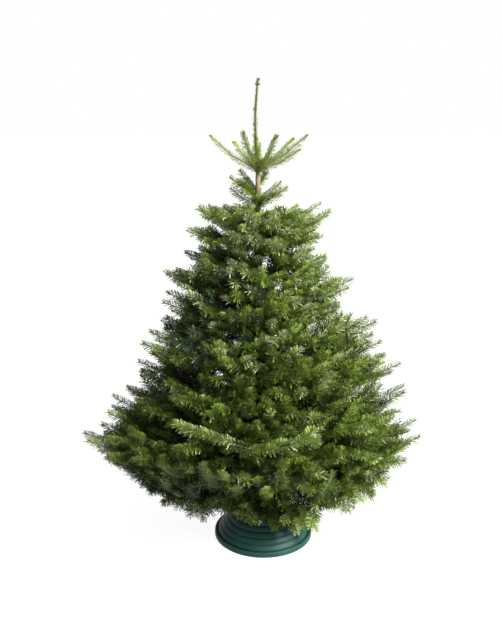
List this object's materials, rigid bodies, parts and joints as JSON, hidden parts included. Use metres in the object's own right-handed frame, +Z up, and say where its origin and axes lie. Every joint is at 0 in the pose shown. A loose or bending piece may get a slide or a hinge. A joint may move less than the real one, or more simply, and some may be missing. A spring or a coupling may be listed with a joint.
{
  "type": "cut christmas tree in a stand",
  "caption": "Undecorated cut fir grown as a christmas tree, broad and dense with a bare leader, upright in a round ribbed plastic water stand.",
  "frame": {"origin": "middle of the stand's flat underside, on the floor", "axes": "+Z up the trunk, -Y the front, +X to the right seen from the front"},
  "size_m": [1.3306, 1.2192, 1.8],
  "materials": {
    "foliage": "waxy needles, dark green above and pale below",
    "young_foliage": "waxy needles of the last year, lighter green",
    "bark": "smooth grey-brown bark with resin blisters and whorl scars",
    "stand_plastic": "satin moulded plastic, dark teal green",
    "screw_steel": "zinc plated"
  },
  "bodies": {
    "root": {"clamp_screw_1": "screw_steel", "clamp_screw_2": "screw_steel", "clamp_screw_3": "screw_steel", "skirt_bough_a": "bark", "skirt_bough_b": "bark", "skirt_bough_c": "bark", "skirt_bough_d": "bark", "skirt_mass_a": "foliage", "skirt_mass_b": "foliage", "skirt_mass_c": "foliage", "skirt_mass_d": "foliage", "stand": "stand_plastic", "tier_1_bough_a": "bark", "tier_1_bough_b": "bark", "tier_1_bough_c": "bark", "tier_1_bough_d": "bark", "tier_1_mass_a": "foliage", "tier_1_mass_b": "foliage", "tier_1_mass_c": "foliage", "tier_1_mass_d": "foliage", "tier_2_bough_a": "bark", "tier_2_bough_b": "bark", "tier_2_bough_c": "bark", "tier_2_bough_d": "bark", "tier_2_mass_a": "foliage", "tier_2_mass_b": "foliage", "tier_2_mass_c": "foliage", "tier_2_mass_d": "foliage", "tier_3_mass_a": "foliage", "tier_3_mass_b": "foliage", "tier_3_mass_c": "foliage", "tier_3_mass_d": "foliage", "tier_4_mass_a": "foliage", "tier_4_mass_b": "foliage", "tier_4_mass_c": "foliage", "tier_4_mass_d": "foliage", "tier_5_mass_a": "foliage", "tier_5_mass_b": "foliage", "tier_5_mass_c": "foliage", "tier_5_mass_d": "foliage", "tier_6_mass_a": "foliage", "tier_6_mass_b": "foliage", "tier_6_mass_c": "foliage", "tier_7_mass_a": "foliage", "tier_7_mass_b": "foliage", "tier_7_mass_c": "foliage", "tier_8_mass_a": "foliage", "tier_8_mass_b": "foliage", "tier_8_mass_c": "foliage", "top_shoot_1": "young_foliage", "top_shoot_2": "young_foliage", "top_shoot_3": "young_foliage", "top_shoot_4": "young_foliage", "top_shoot_5": "young_foliage", "top_shoot_6": "young_foliage", "top_shoot_7": "young_foliage", "top_shoot_8": "young_foliage", "trunk": "bark", "tuft": "young_foliage"}
  },
  "joints": []
}
